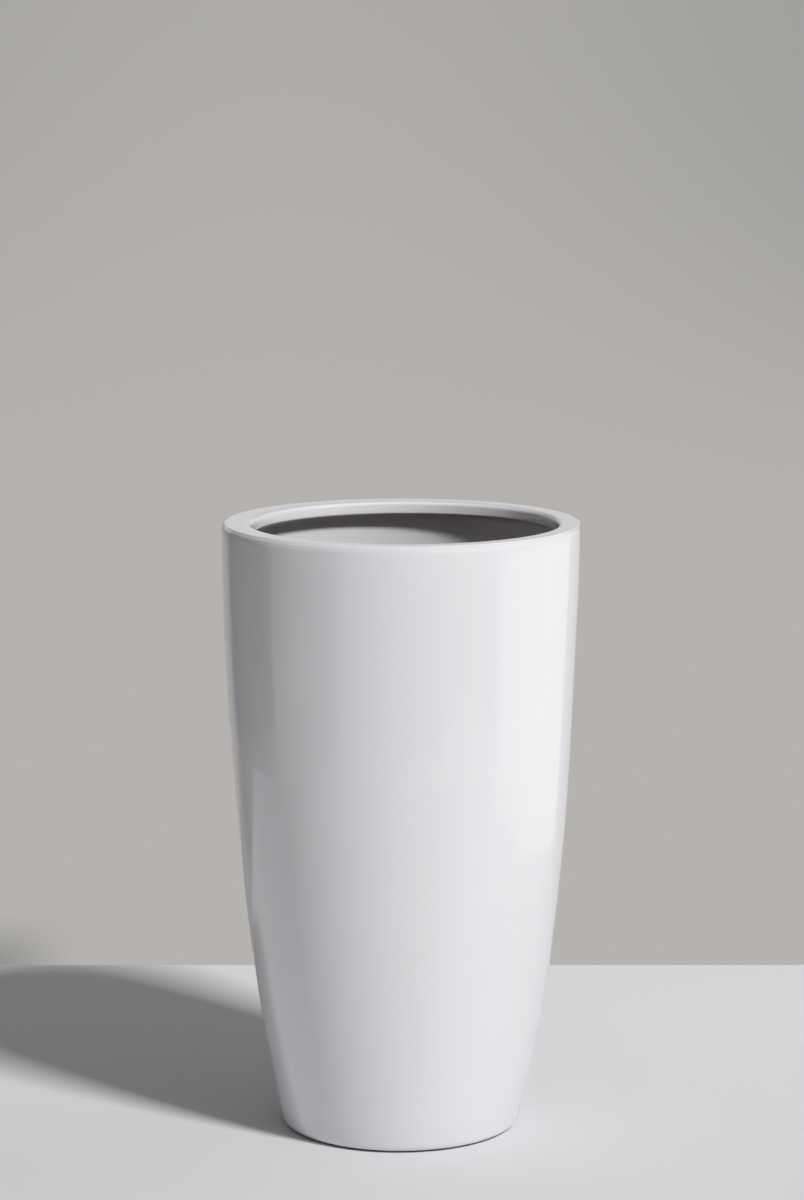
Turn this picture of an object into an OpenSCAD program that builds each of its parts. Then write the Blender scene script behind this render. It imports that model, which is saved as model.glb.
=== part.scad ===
// Tall glazed planter: a clay pot with a rolled lip, its glaze coats, a drain plug and rubber feet.
// Millimetres. The origin is on the floor under the middle of the pot, and +Z is up.

/* [Pot] */
// Widest diameter, over the glaze
pot_d = 400; // [340:5:460]
// Height from the floor to the rim
pot_h = 688; // [560:4:800]
// Diameter at the ground, where the side would meet it
foot_d = 267.6; // [240:0.2:300]
// Thickness of the side
wall_t = 14; // [12:0.5:16]
// Thickness of the bottom
floor_t = 20; // [16:1:28]
// Thickness of the glaze
glaze_t = 1; // [0.6:0.1:1.4]

/* [Side] */
// How far up the side its curve bends most, as a share of the height
belly_up = 0.355; // [0.25:0.005:0.5]
// How far out the side's curve pulls there, as a share of its spread
belly_out = 0.93; // [0.7:0.01:1]
// Height of the rounded corner at the ground
corner_h = 7; // [5:0.5:14]

/* [Lip] */
// Width of the lip's top, from the outer crease to the mouth
lip_w = 25.4; // [24:0.2:34]
// Depth of the lip's inner face
lip_h = 14; // [12:0.5:22]
// How far the widest point lies below the rim
shoulder_h = 24; // [20:1:40]
// How far the crease stands in from the widest point
shoulder_in = 3; // [1:0.5:6]
// How much lower the lip is at the mouth than at the crease
lip_fall = 0.4; // [0:0.1:1.5]

/* [Foot] */
// Width of the ring that the pot stands on
ring_w = 25; // [20:1:32]
// Depth of the hollow inside that ring
recess_h = 4; // [2:0.5:6]
// Thickness of a rubber foot
pad_t = 1.5; // [1:0.5:4]
// Diameter of a rubber foot
pad_d = 18; // [12:1:20]
// Number of rubber feet
pad_count = 4; // [3:1:6]

/* [Drain] */
// Diameter of the drain hole
drain_d = 25; // [16:1:32]
// Diameter of the plug's flange
flange_d = 42; // [38:1:60]
// Thickness of the plug's flange
flange_t = 4; // [3:0.5:6]
// Height of the plug's knob above its flange
knob_h = 15; // [10:1:20]

/* [Hidden] */
$fn = 96;

wall_steps = 26;      // straight steps along the side's curve
bend_steps = 7;       // steps round each small bend
run_gap = 0.05;       // the plug's shank in its hole
rest_gap = 0.2;       // the flange over the glaze
bare_ring = 2;        // unglazed ring around the drain hole

pot_r = pot_d / 2;
foot_r = foot_d / 2;
drain_r = drain_d / 2;
base_z = pad_t;                         // the clay's underside
bottom_z = base_z + floor_t;            // top of the floor, over the glaze
shoulder_z = pot_h - shoulder_h;
side_h = shoulder_z - base_z;            // height of the side up to the widest point
crease_r = pot_r - shoulder_in;
mouth_r = crease_r - lip_w;
lip_z = pot_h - lip_h;                  // underside of the lip
ring_out = foot_r - corner_h;           // outer edge of the standing ring
roll = 5;                               // rounding of the lip's inner edges
cove = 16;                              // bend between the inner side and the floor
hood = lip_w + shoulder_in - wall_t - roll - 2*glaze_t;   // bend from under the lip to the inner side
hood_drop = 4;                          // how far below the widest point that bend ends

// A point on a curve with three or four control points, t from 0 to 1.
function bend(p, t) = (1-t)*(1-t)*p[0] + 2*t*(1-t)*p[1] + t*t*p[2];
function sweep(p, t) = pow(1-t, 3)*p[0] + 3*t*(1-t)*(1-t)*p[1] + 3*t*t*(1-t)*p[2] + pow(t, 3)*p[3];
function bend_pts(p) = [for (i = [0 : bend_steps]) bend(p, i / bend_steps)];
function flip(p) = [for (i = [len(p) - 1 : -1 : 0]) p[i]];

// The side's curve from the ground to the widest point, moved in by d.
function side(d) = [
    [foot_r - d, base_z],
    [foot_r + belly_out*(pot_r - foot_r) - d, base_z + belly_up*side_h],
    [pot_r - d, shoulder_z],
    [pot_r - d, shoulder_z]];

flare = belly_out*(pot_r - foot_r) / (belly_up*side_h);      // the side's lean at the ground
corner_at = corner_h / (3*belly_up*side_h);                  // where the corner meets the side
cove_at = (floor_t + cove*0.6) / (3*belly_up*side_h);        // where the cove meets the inner side
hood_at = 1 - sqrt(hood_drop / (3*(1 - belly_up)*side_h));   // where the bend under the lip meets it
function side_pts(d, from = 0, to = 1) =
    [for (i = [0 : wall_steps]) sweep(side(d), from + (to - from)*i / wall_steps)];

// From the standing ring up the outside, over the lip and back under it, moved into the clay by d.
function outer_path(d) = concat(
    bend_pts([[ring_out, base_z + d], [foot_r - d, base_z + d], sweep(side(d), corner_at)]),
    side_pts(d, corner_at*1.5),
    bend_pts([[pot_r - d, shoulder_z + 2], [pot_r - d, pot_h - shoulder_h/3], [crease_r - d, pot_h - d]]),
    bend_pts([[mouth_r + roll + d, pot_h - lip_fall - d], [mouth_r + d, pot_h - lip_fall - d],
              [mouth_r + d, pot_h - lip_fall - roll - d]]),
    bend_pts([[mouth_r + d, lip_z + roll + d], [mouth_r + d, lip_z + d], [mouth_r + roll + d, lip_z + d]]));

// Where the two glazes meet under the lip.
function seam(d) = [pot_r - wall_t - hood, lip_z + d];

// From under the lip down the inner side and over the floor to the drain hole, moved into the clay by d.
function inner_path(d) = concat(
    bend_pts([seam(d), [pot_r - wall_t + d, lip_z + d], sweep(side(wall_t - d), hood_at)]),
    flip(side_pts(wall_t - d, cove_at*1.3, hood_at*0.985)),
    bend_pts([sweep(side(wall_t - d), cove_at),
              [foot_r - wall_t + d + flare*floor_t, bottom_z - d], [foot_r - wall_t - cove, bottom_z - d]]),
    [[drain_r + bare_ring, bottom_z - d]]);

// The underside, from the drain hole out to the standing ring.
function under_path() = [
    [drain_r, bottom_z - glaze_t],
    [drain_r, base_z + recess_h],
    [ring_out - ring_w - recess_h, base_z + recess_h],
    [ring_out - ring_w, base_z],
    [ring_out, base_z]];

// The fired clay, with the standing ring and the drain hole.
module clay_body()
    color("#b5654a")
    rotate_extrude() polygon(concat(under_path(), outer_path(glaze_t), inner_path(glaze_t)));

// White gloss glaze over the outside and the whole lip.
module outer_glaze()
    color("#eaebee")
    rotate_extrude() polygon(concat(outer_path(0), [seam(0), seam(glaze_t)], flip(outer_path(glaze_t))));

// Thinner, plainer coat on the inside.
module inner_glaze()
    color("#cfccc8")
    rotate_extrude() polygon(concat(inner_path(0), flip(inner_path(glaze_t))));

// Rubber plug that drops into the drain hole from inside and lifts out by its knob.
module drain_plug() {
    flange_z = bottom_z + rest_gap;
    shank_r = drain_r - run_gap;
    knob_r = 8;
    neck_r = 5;
    color("#3a3a3c") {
        translate([0, 0, base_z + recess_h + 1])
            cylinder(r = shank_r, h = flange_z - base_z - recess_h - 1);
        translate([0, 0, flange_z])
        rotate_extrude() polygon(concat(
            [[0, 0], [flange_d/2, 0]],
            bend_pts([[flange_d/2, flange_t*0.4], [flange_d/2, flange_t], [flange_d/2 - 4, flange_t]]),
            bend_pts([[neck_r + 3, flange_t], [neck_r, flange_t], [neck_r, flange_t + 3]]),
            bend_pts([[neck_r, flange_t + knob_h - 6], [knob_r, flange_t + knob_h - 6],
                      [knob_r, flange_t + knob_h - 3]]),
            bend_pts([[knob_r, flange_t + knob_h - 3], [knob_r, flange_t + knob_h], [0, flange_t + knob_h]])));
    }
}

// Stick-on feet under the standing ring, which hold the pot off the floor so that it drains.
module rubber_feet()
    color("#55534f")
    for (i = [0 : pad_count - 1])
        rotate(360*(i + 0.5) / pad_count)
        translate([ring_out - ring_w/2, 0, 0])
        cylinder(d = pad_d, h = pad_t);

clay_body();
outer_glaze();
inner_glaze();
drain_plug();
rubber_feet();
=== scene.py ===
import math

import bpy
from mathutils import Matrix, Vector, noise


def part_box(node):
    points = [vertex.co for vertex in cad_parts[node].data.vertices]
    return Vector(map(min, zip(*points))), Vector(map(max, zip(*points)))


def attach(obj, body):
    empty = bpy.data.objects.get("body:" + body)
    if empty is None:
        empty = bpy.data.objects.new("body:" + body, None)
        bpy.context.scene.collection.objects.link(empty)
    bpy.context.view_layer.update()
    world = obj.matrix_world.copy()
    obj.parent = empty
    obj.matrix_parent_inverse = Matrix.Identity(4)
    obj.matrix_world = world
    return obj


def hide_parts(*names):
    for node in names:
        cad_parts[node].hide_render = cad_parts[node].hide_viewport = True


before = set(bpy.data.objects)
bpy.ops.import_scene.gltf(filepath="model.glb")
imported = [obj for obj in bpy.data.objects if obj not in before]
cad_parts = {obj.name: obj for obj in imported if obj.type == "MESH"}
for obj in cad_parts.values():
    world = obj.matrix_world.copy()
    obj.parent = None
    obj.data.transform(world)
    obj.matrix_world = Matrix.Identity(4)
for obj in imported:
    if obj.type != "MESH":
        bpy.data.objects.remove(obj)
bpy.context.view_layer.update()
mm = 0.001
print("frame loaded:", ", ".join(sorted(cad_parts)))


def bend(a, b, c, steps):  # a curve from a to c that is pulled towards b
    points = []
    for i in range(steps + 1):
        t = i / steps
        u = 1 - t
        points.append(tuple(u * u * p + 2 * t * u * q + t * t * r for p, q, r in zip(a, b, c)))
    return points


def sweep(a, b, c, d, t):  # one point on the long curve of the side
    u = 1 - t
    shares = (u ** 3, 3 * t * u * u, 3 * t * t * u, t ** 3)
    return tuple(sum(share * q for share, q in zip(shares, along)) for along in zip(a, b, c, d))


def straight(a, b, steps):
    return [tuple(p + (q - p) * i / steps for p, q in zip(a, b)) for i in range(steps + 1)]


def joined(*runs):  # one outline from several runs, without the doubled points between them
    points = []
    for run in runs:
        for p in run:
            if not points or math.dist(p, points[-1]) > 1e-6:
                points.append(p)
    return points


def ease(t):
    t = min(1.0, max(0.0, t))
    return t * t * (3 - 2 * t)


def lathe(name, outline, around, shape=None, closed=True):
    # outline: (radius, height) in mm; shape moves a point by hand: (radius, height, turn) -> (x, y, z)
    verts = []
    rings = []
    for r, z in outline:
        if r < 1e-6:
            rings.append([len(verts)])
            verts.append((0.0, 0.0, z * mm))
            continue
        rings.append(list(range(len(verts), len(verts) + around)))
        for i in range(around):
            turn = 2 * math.pi * i / around
            x, y, h = shape(r, z, turn) if shape else (r * math.cos(turn), r * math.sin(turn), z)
            verts.append((x * mm, y * mm, h * mm))
    pairs = list(zip(rings, rings[1:]))
    if closed:
        pairs.append((rings[-1], rings[0]))
    faces = []
    for low, high in pairs:
        for i in range(around):
            j = (i + 1) % around
            if len(low) == 1 and len(high) == 1:
                continue
            if len(low) == 1:
                faces.append((low[0], high[j], high[i]))
            elif len(high) == 1:
                faces.append((low[i], low[j], high[0]))
            else:
                faces.append((low[i], low[j], high[j], high[i]))
    mesh = bpy.data.meshes.new(name)
    mesh.from_pydata(verts, [], faces)
    mesh.validate()
    mesh.shade_smooth()
    piece = bpy.data.objects.new(name, mesh)
    bpy.context.scene.collection.objects.link(piece)
    return piece


class Sock:  # an output of a node that takes part in sums
    def __init__(self, finish, link):
        self.finish = finish
        self.link = link

    def sum(self, operation, a, b):
        return self.finish.add("ShaderNodeMath", {"operation": operation}, {0: a, 1: b})

    def __add__(self, other):
        return self.sum("ADD", self, other)

    def __radd__(self, other):
        return self.sum("ADD", other, self)

    def __sub__(self, other):
        return self.sum("SUBTRACT", self, other)

    def __rsub__(self, other):
        return self.sum("SUBTRACT", other, self)

    def __mul__(self, other):
        return self.sum("MULTIPLY", self, other)

    def __rmul__(self, other):
        return self.sum("MULTIPLY", other, self)

    def __pow__(self, other):
        return self.sum("POWER", self, other)

    def between(self, low, high):  # 0 at low, 1 at high, smooth in between
        settings = {"interpolation_type": "SMOOTHSTEP"}
        values = {"Value": self, "From Min": low, "From Max": high}
        return self.finish.add("ShaderNodeMapRange", settings, values)

    def over(self, low, high):  # spreads 0 to 1 over low to high
        return self * (high - low) + low


class Finish:  # a material, or the world, built from nodes
    def __init__(self, name, uniform=None, owner=None):
        self.owner = owner or bpy.data.materials.new(name)
        self.owner.use_nodes = True
        self.tree = self.owner.node_tree
        self.shader = self.tree.nodes.get("Principled BSDF")
        for socket, value in (uniform or {}).items():
            self.shader.inputs[socket].default_value = value

    def add(self, kind, settings=None, values=None, output=0):
        node = self.tree.nodes.new(kind)
        for key, value in (settings or {}).items():
            setattr(node, key, value)
        for key, value in (values or {}).items():
            self.put(node.inputs[key], value)
        return Sock(self, node.outputs[output])

    def put(self, socket, value):
        if isinstance(value, Sock):
            self.tree.links.new(value.link, socket)
        else:
            socket.default_value = value

    def feed(self, socket, value):
        self.put(self.shader.inputs[socket], value)

    def place(self):  # where a point is on the piece, in metres
        return self.add("ShaderNodeTexCoord", output="Object")

    def part(self, vector, axis):  # one of a vector's three numbers
        return self.add("ShaderNodeSeparateXYZ", {}, {0: vector}, output=axis)

    def cloud(self, vector, scale, detail=2.0, rough=0.5, stretch=(1, 1, 1)):  # soft noise, 0 to 1
        spread = self.add("ShaderNodeVectorMath", {"operation": "MULTIPLY"}, {0: vector, 1: stretch})
        values = {"Vector": spread, "Scale": scale, "Detail": detail, "Roughness": rough}
        return self.add("ShaderNodeTexNoise", {}, values)

    def specks(self, vector, scale):  # distance to the nearest of many scattered points
        return self.add("ShaderNodeTexVoronoi", {}, {"Vector": vector, "Scale": scale})

    def waves(self, along):  # even ridges along a measure
        return self.add("ShaderNodeMath", {"operation": "SINE"}, {0: along})

    def tint(self, share, a, b, blend="MIX"):  # from a to b
        settings = {"data_type": "RGBA", "blend_type": blend}
        return self.add("ShaderNodeMix", settings, {0: share, 6: a, 7: b}, output=2)

    def bumps(self, height, depth, strength=1.0, under=None):
        values = {"Height": height, "Distance": depth, "Strength": strength}
        if under:
            values["Normal"] = under
        return self.add("ShaderNodeBump", {}, values)

    def on(self, *pieces):
        for piece in pieces:
            piece.data.materials.clear()
            piece.data.materials.append(self.owner)


def colour(red, green, blue):
    return (red, green, blue, 1.0)


low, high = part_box("outer_glaze")
potR = high.x / mm
rimZ = high.z / mm
baseZ = low.z / mm
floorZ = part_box("inner_glaze")[0].z / mm + 1  # top of the floor, over its coat

pot = {  # millimetres
    "footR": 133.8,  # where the side would meet the ground
    "bellyUp": 0.355,  # how far up the side's curve bends most, as a share
    "bellyOut": 0.93,  # and how far out it pulls there
    "cornerH": 7,  # rounded corner at the ground
    "shoulderH": 24,  # the widest point lies this far below the rim
    "shoulderIn": 3,  # and the crease stands this far in from it
    "bandTop": 11,  # the side starts to lean in this far below the rim
    "bandMiddle": 8.5,  # and leans in more from here on
    "lipW": 25.4,  # from the crease to the mouth
    "lipH": 14.8,  # depth of the lip's inner face
    "lipFall": 0.4,  # the lip is lower at the mouth
    "roll": 2.5,  # rounding of the lip's lower inner edge
    "softRoll": 7,  # and of its upper one, which the glaze softens
    "lipLean": 1.6,  # the lip's inner face leans in towards its foot
    "crease": 1.2,  # rounding of the outer crease
    "browIn": 1.6,  # how far the side has leant in where that rounding starts
    "browDown": 1.4,  # and how far below the rim that is
    "wall": 14,
    "skin": 1,  # thickness of the glaze
    "cove": 16,  # bend between the inner side and the floor
    "hoodRoll": 5,  # the two coats meet under the lip, this far and two skins behind the mouth
    "hoodDrop": 4,  # the bend under the lip ends this far below the widest point
    "coatR": 14.5,  # the inner coat stops this far from the middle of the drain hole
    "around": 288,  # points round a ring
}
shoulderZ = rimZ - pot["shoulderH"]
sideH = shoulderZ - baseZ
creaseR = potR - pot["shoulderIn"]
mouthR = creaseR - pot["lipW"]
lipZ = rimZ - pot["lipH"]
ringOut = pot["footR"] - pot["cornerH"]
hood = pot["lipW"] + pot["shoulderIn"] - pot["wall"] - pot["hoodRoll"] - 2 * pot["skin"]


def sidePoint(inset, t):  # on the side's curve, moved in: 0 at the ground, 1 at the widest point
    bellyR = pot["footR"] + pot["bellyOut"] * (potR - pot["footR"])
    ground = (pot["footR"] - inset, baseZ)
    belly = (bellyR - inset, baseZ + pot["bellyUp"] * sideH)
    top = (potR - inset, shoulderZ)
    return sweep(ground, belly, top, top, t)


def sideRun(inset, start, end, steps):
    return [sidePoint(inset, start + (end - start) * i / steps) for i in range(steps + 1)]


# where the corner, the cove and the bend under the lip meet the side's curve
cornerAt = pot["cornerH"] / (3 * pot["bellyUp"] * sideH)
coveAt = (floorZ - baseZ + pot["cove"] * 0.6) / (3 * pot["bellyUp"] * sideH)
hoodAt = 1 - math.sqrt(pot["hoodDrop"] / (3 * (1 - pot["bellyUp"]) * sideH))
flare = pot["bellyOut"] * (potR - pot["footR"]) / (pot["bellyUp"] * sideH)  # the side's lean at the ground


# The outside, from the standing ring up the side and round the lip, moved into the clay by d. A higher
# fine gives more steps.
def outside(d, fine):
    edge = pot["crease"]
    roll = pot["roll"]
    soft = pot["softRoll"]
    topZ = rimZ - d
    dipZ = topZ - pot["lipFall"]
    faceR = mouthR + d
    edgeR = faceR - pot["lipLean"]
    neck = (potR - d - 0.1, rimZ - pot["bandMiddle"])
    brow = (potR - d - pot["browIn"], topZ - pot["browDown"])
    shoulder = joined(
        bend((potR - d, shoulderZ + 2), (potR - d, rimZ - pot["bandTop"]), neck, 6 * fine),
        bend(neck, (potR - d - 0.5, rimZ - 5), brow, 5 * fine),
    )
    return joined(
        bend((ringOut, baseZ + d), (pot["footR"] - d, baseZ + d), sidePoint(d, cornerAt), 5 * fine),
        sideRun(d, cornerAt * 1.3, 1, 36 * fine),
        shoulder,
        bend(brow, (brow[0] - 0.2, topZ - 0.1), (brow[0] - edge, topZ), 4 * fine),
        straight((creaseR - d - edge * 1.6, topZ), (faceR + soft, dipZ), 4 * fine),
        bend((faceR + soft, dipZ), (faceR, dipZ), (faceR - 0.3, dipZ - soft * 0.75), 7 * fine),
        bend((edgeR, lipZ + roll + d), (edgeR, lipZ + d), (edgeR + roll, lipZ + d), 4 * fine),
        [(potR - pot["wall"] - hood, lipZ + d)],
    )


# The inside, from under the lip down the inner side and over the floor to the drain hole, moved in alike.
def inside(d, fine):
    start = (potR - pot["wall"] - hood, lipZ + d)
    wall = pot["wall"] - d
    coveR = pot["footR"] - pot["wall"] - pot["cove"]
    cornerR = pot["footR"] - wall + flare * (floorZ - baseZ)
    coatR = pot["coatR"]
    return joined(
        bend(start, (potR - wall, lipZ + d), sidePoint(wall, hoodAt), 4 * fine),
        sideRun(wall, hoodAt * 0.985, coveAt * 1.2, 30 * fine),
        bend(sidePoint(wall, coveAt), (cornerR, floorZ - d), (coveR, floorZ - d), 5 * fine),
        straight((coveR - 4, floorZ - d), (coatR + 2, floorZ - d), 6 * fine),
        bend((coatR + 1.5, floorZ - d), (coatR, floorZ - d), (coatR, floorZ - 0.6 - d * 0.4), 2 * fine),
    )


hand = {  # millimetres that the pot is out of true
    # how far the side stands to the right, at a share of the height
    "leanX": [(0, -0.9), (0.1, 1.4), (0.42, 1.2), (0.78, -0.7), (0.93, -0.2), (1, -0.1)],
    "rimShift": 2.4,  # the crease and the mouth sit this far to the right
    "mouthShift": 2.2,  # and the mouth this much further
    "oval": 0.25,
    "ripple": 0.12,  # slow waves in the clay
    "rippleH": 90,  # and their height
    "ring": 0.05,  # faint throwing rings
    "ringH": 7.3,
}


def leanAt(z):
    share = z / rimZ
    for (h0, x0), (h1, x1) in zip(hand["leanX"], hand["leanX"][1:]):
        if share <= h1:
            return x0 + (x1 - x0) * ease((share - h0) / (h1 - h0))
    return hand["leanX"][-1][1]


def thrown(r, z, turn):  # how a point of the true lathe shape lies on the hand-made pot
    rise = ease((z - rimZ + 4) / 3) if r > creaseR - 2 else ease((z - lipZ + 12) / 12)
    up = min(1.0, max(0.0, (potR - r) / pot["shoulderIn"])) * rise
    inward = ease((creaseR - r) / pot["lipW"]) * ease((z - lipZ + 12) / 12)
    wave = noise.noise(Vector((1.6 * math.cos(turn), 1.6 * math.sin(turn), z / hand["rippleH"]))) - 0.5
    rings = math.sin(z / hand["ringH"] + 2 * noise.noise(Vector((0, 3, z / 40)))) - 1
    oval = (math.cos(2 * turn + 0.6) - 1) / 2
    r2 = r + hand["ripple"] * wave + hand["ring"] * rings + hand["oval"] * oval
    x = r2 * math.cos(turn) + leanAt(z) + up * hand["rimShift"] + inward * hand["mouthShift"]
    return x, r2 * math.sin(turn), z


print("building the pot")
glazeLine = joined(outside(0, 2), reversed(outside(pot["skin"], 1)))
innerLine = joined(inside(0, 2), reversed(inside(pot["skin"], 1)))
glazeCoat = lathe("glazeCoat", glazeLine, pot["around"], thrown)
innerCoat = lathe("innerCoat", innerLine, pot["around"], thrown)

under = {  # millimetres
    "ringW": 25,  # width of the standing ring
    "recess": 4,  # depth of the hollow inside it
    "holeR": 12.5,  # drain hole
    "softEdge": 0.8,
}


def underside():  # from inside the drain hole out to the standing ring
    e = under["softEdge"]
    hole = under["holeR"]
    recessZ = baseZ + under["recess"]
    ringIn = ringOut - under["ringW"]
    return joined(
        straight((hole, floorZ - pot["skin"] - 0.3), (hole, recessZ + e), 6),
        bend((hole, recessZ + e), (hole, recessZ), (hole + e, recessZ), 4),
        straight((hole + 3, recessZ), (ringIn - 6, recessZ), 40),
        bend((ringIn - 5, recessZ), (ringIn - 2, recessZ), (ringIn - 1.4, baseZ + 1.6), 5),
        bend((ringIn - 1.2, baseZ + 1.2), (ringIn, baseZ), (ringIn + 1.2, baseZ), 4),
        straight((ringIn + 2, baseZ), (ringOut - 0.4, baseZ), 10),
    )


clay = joined(underside(), outside(pot["skin"], 1), inside(pot["skin"], 1))
clayBody = lathe("clayBody", clay, pot["around"], thrown)
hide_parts("outer_glaze")
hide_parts("inner_glaze")
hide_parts("clay_body")


plugLow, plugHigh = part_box("drain_plug")
plug = {  # millimetres
    "flangeT": 4,
    "shankR": 12.45,
    "knobR": 8,
    "neckR": 5,
    "knobH": 15,
    "hollow": 1.5,  # in the end of the shank
    "groove": 0.5,  # depth of the ring pressed into the flange
    "ribs": 16,  # finger ribs round the knob
    "ribDepth": 0.5,
    "around": 128,
}


def ribbed(r, z, turn):  # shallow ribs round the widest part of the knob
    top = plugHigh.z / mm
    on = ease((z - (top - 8)) / 2) * ease((top - 1 - z) / 1.5) * ease((r - 6) / 1.5)
    r2 = r - plug["ribDepth"] * on * (0.5 - 0.5 * math.cos(plug["ribs"] * turn))
    return r2 * math.cos(turn), r2 * math.sin(turn), z


def plugOutline():
    bottom = plugLow.z / mm
    flangeR = plugHigh.x / mm
    top = plugHigh.z / mm
    deck = top - plug["knobH"]  # the flange's upper face
    seat = deck - plug["flangeT"]
    shank, neck, knob = plug["shankR"], plug["neckR"], plug["knobR"]
    hollow = bottom + plug["hollow"]
    groove = deck - plug["groove"]
    return joined(
        [(0, hollow), (shank - 6, hollow)],
        bend((shank - 4.5, hollow), (shank - 4, bottom), (shank - 3, bottom), 3),
        bend((shank - 1.5, bottom), (shank, bottom), (shank, bottom + 1.5), 4),
        straight((shank, bottom + 2), (shank, seat - 0.6), 6),
        bend((shank, seat - 0.5), (shank, seat), (shank + 0.5, seat), 3),
        straight((shank + 1, seat), (flangeR - 0.6, seat), 6),
        bend((flangeR - 0.5, seat), (flangeR, seat), (flangeR, seat + 0.5), 3),
        bend((flangeR, seat + 1.6), (flangeR, deck), (flangeR - 4, deck), 8),
        bend((flangeR - 5, deck), (flangeR - 6, deck), (flangeR - 6.3, groove), 3),
        bend((flangeR - 7.7, groove), (flangeR - 8, deck), (flangeR - 9, deck), 3),
        bend((neck + 3, deck), (neck, deck), (neck, deck + 3), 6),
        straight((neck, deck + 3.5), (neck, top - 7), 4),
        bend((neck, top - 6.5), (knob, top - 6), (knob, top - 3), 8),
        bend((knob, top - 3), (knob, top), (3, top), 8),
        [(1.5, top), (0, top)],
    )


print("building the plug and the feet")
drainPlug = lathe("drainPlug", plugOutline(), plug["around"], ribbed, closed=False)
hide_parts("drain_plug")

feet = {
    "count": 4,
    "r": 9,  # millimetres
    "edge": 0.7,  # rounding of the lower edge
    "dish": 0.25,  # hollow in the underside
    "around": 64,
}


def footOutline(top):
    r, e = feet["r"], feet["edge"]
    return joined(
        [(0, feet["dish"]), (r * 0.4, feet["dish"] * 0.8), (r * 0.7, 0.08)],
        bend((r - 2 * e, 0), (r - e * 0.6, 0), (r - e * 0.4, e), 4),
        straight((r - e * 0.3, e * 1.4), (r, top - 0.5), 3),
        bend((r, top - 0.4), (r, top), (r - 0.4, top), 3),
        [(r * 0.5, top), (0, top)],
    )


footPieces = []
ringMiddle = ringOut - under["ringW"] / 2
for number in range(feet["count"]):
    foot = lathe(f"rubberFoot{number + 1}", footOutline(baseZ), feet["around"], closed=False)
    turn = 2 * math.pi * (number + 0.5) / feet["count"]
    foot.location = (ringMiddle * mm * math.cos(turn), ringMiddle * mm * math.sin(turn), 0)
    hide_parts("rubber_feet")
    footPieces.append(foot)


print("mixing the finishes")


def whiteGlaze():  # thick glossy white, a little greyer towards the foot, with pinholes
    f = Finish("whiteGlaze", {"IOR": 1.5, "Coat IOR": 1.5, "Coat Roughness": 0.012})
    place = f.place()
    height = f.part(place, "Z")
    mottle = f.cloud(place, 7, 2, 0.5)
    streaks = f.cloud(place, 11, 2, 0.5, (1, 1, 0.1))
    greyerToFoot = height.between(0.045, 0.006)
    body = f.tint(mottle, colour(0.882, 0.884, 0.908), colour(0.895, 0.897, 0.92))
    body = f.tint(streaks.between(0.45, 0.75) * 0.3, body, colour(0.85, 0.848, 0.855))
    body = f.tint(greyerToFoot * 0.4, body, colour(0.79, 0.80, 0.82))
    edge = height.between((rimZ - 1.6) * mm, (rimZ - 0.2) * mm)
    body = f.tint(edge * mottle * 0.2, body, colour(0.80, 0.775, 0.75))
    pits = f.specks(place, 46).between(0.0, 0.022)
    rare = f.cloud(place, 60, 1).between(0.55, 0.6)
    hole = (1 - pits) * rare
    f.feed("Base Color", f.tint(hole * 0.55, body, colour(0.52, 0.49, 0.46)))
    f.feed("Roughness", mottle.over(0.25, 0.33))
    f.feed("Coat Weight", 1 - hole * 0.5)
    slow = f.bumps(f.cloud(place, 18, 0, 0.4, (1, 1, 0.5)), 0.00005)
    peel = f.bumps(f.cloud(place, 300, 1, 0.5), 0.000004, under=slow)
    f.feed("Normal", f.bumps(1 - hole, 0.00008, under=peel))
    return f


whiteBand = {"depth": 0.055, "soft": 0.008}  # metres of white below the rim, and how softly it ends


def innerWashAndShade():  # white glaze inside the mouth, and a thin brown wash below it, whose dark brown is also painted shade for the inside of the pot
    f = Finish("innerWashAndShade", {"IOR": 1.45, "Coat Roughness": 0.12})
    place = f.place()
    height = f.part(place, "Z")
    mottle = f.cloud(place, 16, 4, 0.6)
    runs = f.cloud(place, 26, 3, 0.5, (1, 1, 0.08))
    edge = height + (runs - 0.5) * 0.02 + (mottle - 0.5) * 0.008
    ends = rimZ * mm - whiteBand["depth"]
    deep = edge.between(ends, ends - whiteBand["soft"])
    white = f.tint(mottle.between(0.3, 0.7), colour(0.88, 0.88, 0.89), colour(0.90, 0.90, 0.91))
    # painted shade in part: the dark brown below the white band darkens and warms the shade inside the pot
    washAndShade = f.tint(mottle.between(0.3, 0.7), colour(0.09, 0.05, 0.036), colour(0.14, 0.08, 0.056))
    washAndShade = f.tint(runs.between(0.5, 0.72) * 0.5, washAndShade, colour(0.20, 0.135, 0.10))
    body = f.tint(deep, white, washAndShade)
    thin = f.specks(place, 120).between(0.02, 0.12)
    body = f.tint((1 - thin) * deep * 0.6, body, colour(0.40, 0.30, 0.24))
    f.feed("Base Color", body)
    f.feed("Roughness", mottle.over(0.3, 0.45) + deep * 0.3)
    f.feed("Coat Weight", 0.5 - deep * 0.45)
    ridge = f.bumps(f.waves(height * 780 + mottle * 2.2), 0.00005, 0.5)
    f.feed("Normal", f.bumps(f.cloud(place, 240, 3), 0.00004, under=ridge))
    return f


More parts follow.
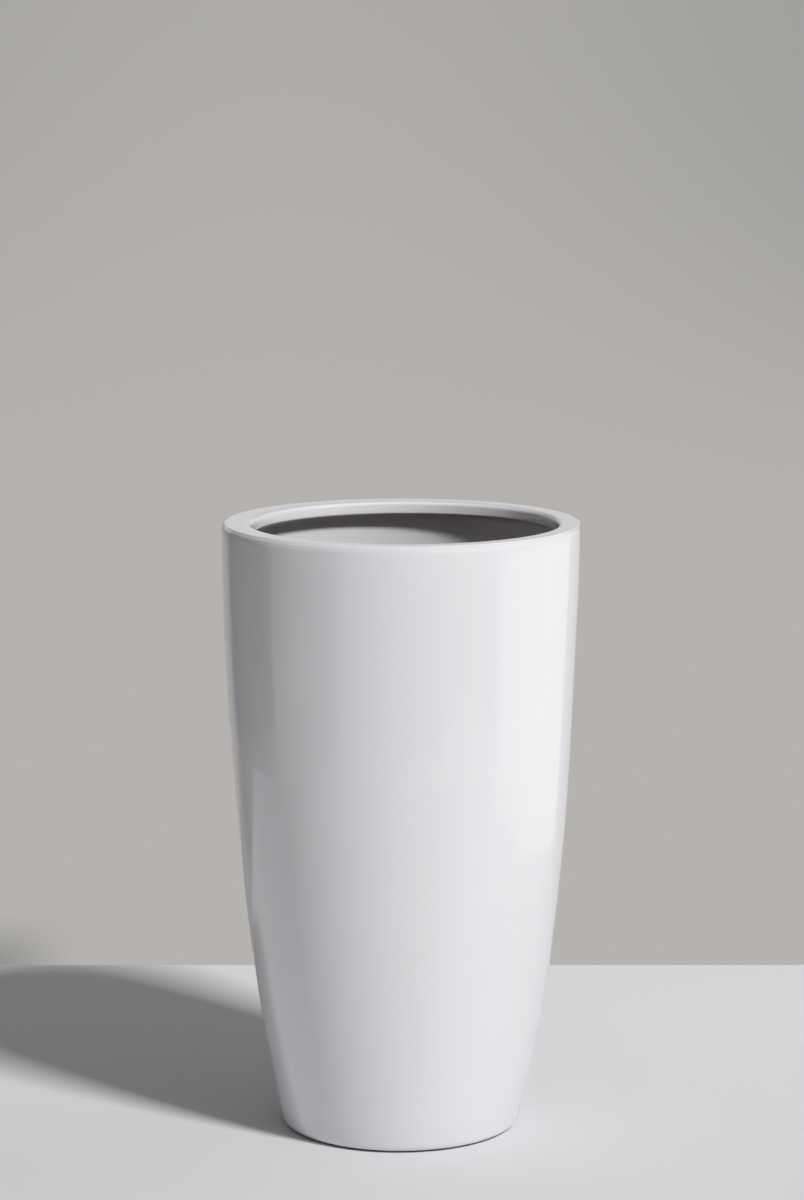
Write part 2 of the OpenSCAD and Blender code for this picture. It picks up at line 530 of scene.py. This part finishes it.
def bareClay():  # fired terracotta with grit, trimming rings and white specks of lime
    f = Finish("bareClay", {"IOR": 1.4, "Specular IOR Level": 0.3})
    place = f.place()
    x, y = f.part(place, "X"), f.part(place, "Y")
    away = (x * x + y * y) ** 0.5
    patches = f.cloud(place, 24, 4, 0.6)
    grit = f.cloud(place, 900, 2, 0.6)
    body = f.tint(patches.between(0.3, 0.7), colour(0.50, 0.215, 0.125), colour(0.60, 0.29, 0.18))
    body = f.tint(grit.between(0.5, 0.8) * 0.6, body, colour(0.36, 0.15, 0.09))
    lime = f.specks(place, 170).between(0.03, 0.07)
    body = f.tint((1 - lime) * patches.between(0.5, 0.6), body, colour(0.72, 0.55, 0.44))
    f.feed("Base Color", body)
    f.feed("Roughness", grit.over(0.8, 0.95))
    rings = f.bumps(f.waves(away * 1900 + patches * 3), 0.00012, 0.7)
    f.feed("Normal", f.bumps(grit, 0.00015, under=rings))
    return f


def mouldedRubber(name, dark, light, coarse):  # black or grey rubber with a fine mould texture and dust
    f = Finish(name, {"IOR": 1.5, "Specular IOR Level": 0.4})
    place = f.place()
    cloudy = f.cloud(place, 90, 3, 0.6)
    grain = f.cloud(place, coarse, 2, 0.6)
    dust = f.cloud(place, 40, 3, 0.7).between(0.5, 0.8)
    body = f.tint(cloudy, colour(*dark), colour(*light))
    f.feed("Base Color", f.tint(dust * 0.25, body, colour(0.25, 0.23, 0.21)))
    f.feed("Roughness", grain * 0.15 + dust * 0.2 + 0.5)
    f.feed("Normal", f.bumps(grain, 0.00005))
    return f


whiteGlaze().on(glazeCoat)
innerWashAndShade().on(innerCoat)
bareClay().on(clayBody)
mouldedRubber("plugRubber", (0.018, 0.018, 0.019), (0.035, 0.034, 0.033), 1500).on(drainPlug)
mouldedRubber("footRubber", (0.04, 0.039, 0.038), (0.07, 0.068, 0.064), 1100).on(*footPieces)

for piece, slotName in ((glazeCoat, "white_glaze"), (innerCoat, "inner_coat"), (clayBody, "clay")):
    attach(piece, "pot")
for foot in footPieces:
    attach(foot, "pot")
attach(drainPlug, "plug")


print("setting the studio")
studio = {  # metres, degrees and tones
    "floorBack": 0.683,
    "floorFront": -1.6,
    "floorSide": 1.5,
    "floorThick": 0.02,
    "keyTurn": 43,  # degrees to the right of the camera
    "keyUp": 45.6,
    "keyFar": 14.0,
    "keySize": 1.9,
    "keyPower": 1610,
    "keyAim": (0, 0, 0.35),
    "wallLow": colour(0.462, 0.446, 0.430),
    "wallHigh": colour(0.366, 0.356, 0.346),
    "halfBack": colour(0.05, 0.05, 0.05),
    "halfFront": colour(0.06, 0.06, 0.061),  # a little lighter at the front left
    "above": colour(0.36, 0.36, 0.365),
    "left": colour(0.06, 0.06, 0.06),
    "leftLow": colour(0.13, 0.13, 0.13),
    "front": colour(0.10, 0.10, 0.101),
    "floorOn": colour(0.40, 0.40, 0.41),  # the floor goes on towards the front
    "behind": colour(0.60, 0.60, 0.61),  # brighter strip over the wall, which the lip mirrors
    "right": colour(0.62, 0.62, 0.63),  # and brighter to the right of it
}

# Upright cards that show only as reflections in the glaze. ends is where they stand; low, high and glow
# are the bottom edge, the top edge and the brightness at each end; fade is where the glow halves upwards.
cards = {
    "brightCard": {
        "ends": ((1.22, -0.60), (1.02, 0.84)),
        "low": (0.0, 0.0),
        "high": (0.52, 0.62),
        "glow": (1.05, 1.05),
    },
    "windowCard": {
        "ends": ((2.17, -0.78), (2.30, -0.26)),
        "low": (2.4, 2.4),
        "high": (3.0, 3.0),
        "glow": (5.0, 5.0),
    },
    "darkCard": {
        "ends": ((-1.46, -0.095), (-1.05, 1.08)),
        "low": (0.12, 0.12),
        "high": (1.8, 1.8),
        "glow": (0.02, 0.05),
    },
    "greyCard": {
        "ends": ((-1.05, -1.32), (-1.46, -0.095)),
        "low": (0.0, 0.0),
        "high": (1.6, 1.8),
        "glow": (0.02, 0.72),
        "fade": (0.2, 0.5),
    },
    "standCard": {
        "ends": ((-1.09, -1.045), (-1.07, -1.07)),
        "low": (0.2, 0.2),
        "high": (0.56, 0.56),
        "glow": (0.02, 0.02),
    },
}


def slab():
    w, back, front = studio["floorSide"], studio["floorBack"], studio["floorFront"]
    mesh = bpy.data.meshes.new("floorSlab")
    corners = [(-w, front), (w, front), (w, back), (-w, back)]
    verts = [(x, y, z) for z in (0.0, -studio["floorThick"]) for x, y in corners]
    faces = [(0, 1, 2, 3), (7, 6, 5, 4)]
    for i in range(4):
        j = (i + 1) % 4
        faces.append((i, i + 4, j + 4, j))
    mesh.from_pydata(verts, [], faces)
    floor = bpy.data.objects.new("floorSlab", mesh)
    bpy.context.scene.collection.objects.link(floor)
    f = Finish("floorWhite", {"Specular IOR Level": 0.0})
    place = f.place()
    soft = f.cloud(place, 3, 2)
    pale = f.tint(soft, colour(0.735, 0.735, 0.75), colour(0.75, 0.75, 0.765))
    # painted sheen: the floor is lighter towards the back, standing in for its glare at low angles
    far = f.part(place, "Y").between(-0.3, 0.6)
    f.feed("Base Color", f.tint(far, pale, colour(0.85, 0.85, 0.87)))
    f.feed("Roughness", f.cloud(place, 60, 2).over(0.5, 0.6))
    f.on(floor)


def card(name, ends, low, high, glow, fade=None):
    (x0, y0), (x1, y1) = ends
    mesh = bpy.data.meshes.new(name)
    verts = [(x0, y0, low[0]), (x1, y1, low[1]), (x1, y1, high[1]), (x0, y0, high[0])]
    mesh.from_pydata(verts, [], [(0, 1, 2, 3)])
    piece = bpy.data.objects.new(name, mesh)
    bpy.context.scene.collection.objects.link(piece)
    piece.visible_camera = False
    piece.visible_diffuse = False
    piece.visible_shadow = False
    f = Finish(name, {"Base Color": colour(0, 0, 0), "Emission Strength": max(glow)})
    first, last = (colour(*[end / max(glow)] * 3) for end in glow)
    place = f.place()
    tone = f.tint(f.part(place, "Y").between(y0, y1), first, last)
    if fade:
        tone = f.tint(f.part(place, "Z").between(*fade), tone, colour(0.5, 0.5, 0.5), "MULTIPLY")
    f.feed("Emission Color", tone)
    f.on(piece)


def keyLight():  # one soft square light, high on the right of the camera
    turn = math.radians(studio["keyTurn"])
    up = math.radians(studio["keyUp"])
    lamp = bpy.data.lights.new("keyLight", "AREA")
    lamp.shape = "SQUARE"
    lamp.size = studio["keySize"]
    lamp.energy = studio["keyPower"]
    way = Vector((math.sin(turn) * math.cos(up), -math.cos(turn) * math.cos(up), math.sin(up)))
    light = bpy.data.objects.new("keyLight", lamp)
    light.location = Vector(studio["keyAim"]) + way * studio["keyFar"]
    light.rotation_euler = way.to_track_quat("Z", "Y").to_euler()
    light.visible_camera = False
    light.visible_glossy = False
    bpy.context.scene.collection.objects.link(light)


slab()
for name, values in cards.items():
    card(name, **values)
keyLight()


def surroundings():  # a plain wall, darker to the left and in front, and plain soft light above
    world = bpy.data.worlds.new("studioWorld")
    bpy.context.scene.world = world
    w = Finish("studioWorld", owner=world)
    way = w.add("ShaderNodeTexCoord", output="Generated")
    side = w.part(way, "X")
    ahead = w.part(way, "Y")
    lift = w.part(way, "Z")
    # the wall darkens upwards, and sooner towards the sides
    fade = (side * 0.635 + side * side * 10) * lift.between(-0.157, -0.003)
    wall = w.tint((lift + fade).between(-0.167, 0.184), studio["wallLow"], studio["wallHigh"])
    # the end of the shadow, where it climbs the wall
    corner = side.between(-0.085, -0.115) * lift.between(-0.238, -0.253)
    wall = w.tint(corner * 0.85, wall, colour(0.25, 0.25, 0.245))
    # bright to the right of the view, and dark to the left and behind the camera
    wall = w.tint(side.between(0.13, 0.3) * ahead.between(0.2, 0.5), wall, studio["right"])
    left = w.tint(lift.between(-0.08, -0.03), studio["leftLow"], studio["left"])
    wall = w.tint(side.between(-0.5, -0.62), wall, left)
    wall = w.tint(ahead.between(0.2, -0.2) * side.between(0.35, 0.0), wall, studio["front"])
    floorOn = lift.between(-0.01, -0.04) * ahead.between(0.3, 0.0)
    wall = w.tint(floorOn, wall, studio["floorOn"])
    # above the wall it is dark half way up and lighter overhead
    front = ahead.between(0.3, -0.4) * side.between(0.5, -0.1)
    half = w.tint(front, studio["halfBack"], studio["halfFront"])
    tone = w.tint(lift.between(0.12, 0.35), wall, half)
    tone = w.tint(lift.between(0.6, 0.9), tone, studio["above"])
    strip = lift.between(0.03, 0.09) * lift.between(0.32, 0.2) * ahead.between(0.2, 0.6)
    tone = w.tint(strip, tone, studio["behind"])
    w.put(w.tree.nodes["Background"].inputs["Color"], tone)


surroundings()

view = {
    "lens": 109.4,
    "place": (0.0013, -4.023, 1.239),
    "down": 9.035,  # degrees
}
camera = bpy.data.objects.new("camera", bpy.data.cameras.new("camera"))
camera.data.sensor_width = 36
camera.data.lens = view["lens"]
camera.location = view["place"]
camera.rotation_euler = (math.radians(90 - view["down"]), 0, 0)
camera.data.clip_end = 50
bpy.context.scene.collection.objects.link(camera)
bpy.context.scene.camera = camera
bpy.context.scene.view_settings.view_transform = "Standard"
bpy.context.scene.view_settings.look = "None"
